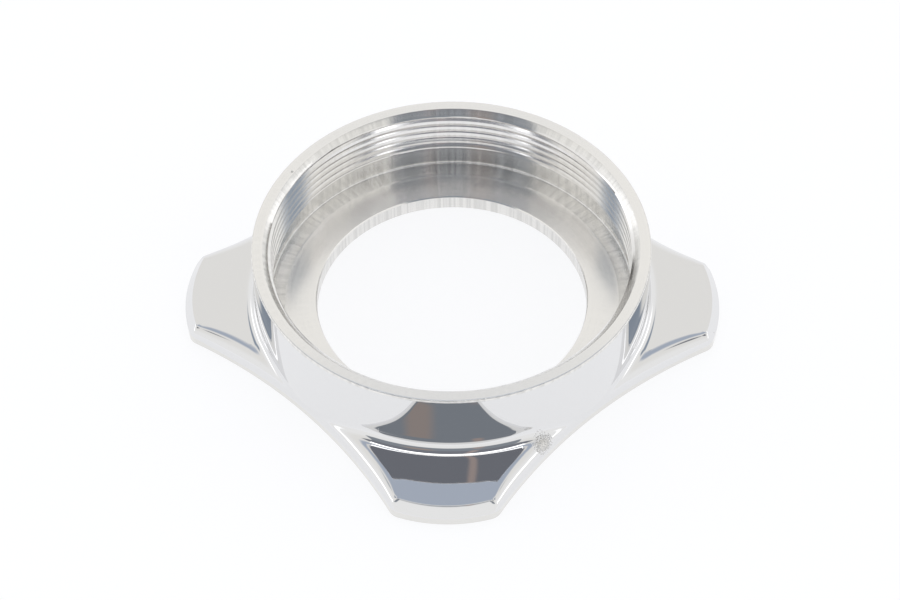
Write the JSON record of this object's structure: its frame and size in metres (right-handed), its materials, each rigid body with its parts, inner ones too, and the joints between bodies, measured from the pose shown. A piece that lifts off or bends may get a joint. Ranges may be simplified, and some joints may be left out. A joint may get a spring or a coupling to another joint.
{
  "type": "winged ring nut",
  "caption": "Round ring nut with an internal thread, an inner seat around a clear hole, and wings around its base for turning it by hand.",
  "frame": {"origin": "centre of the flat base face, on the thread axis", "axes": "+Z along the thread axis towards the open threaded mouth, +X along one wing"},
  "size_m": [0.1448, 0.1448, 0.0261],
  "materials": {
    "steel": "mirror polished outside, turned inside"
  },
  "bodies": {
    "root": {"ring_nut": "steel"}
  },
  "joints": []
}
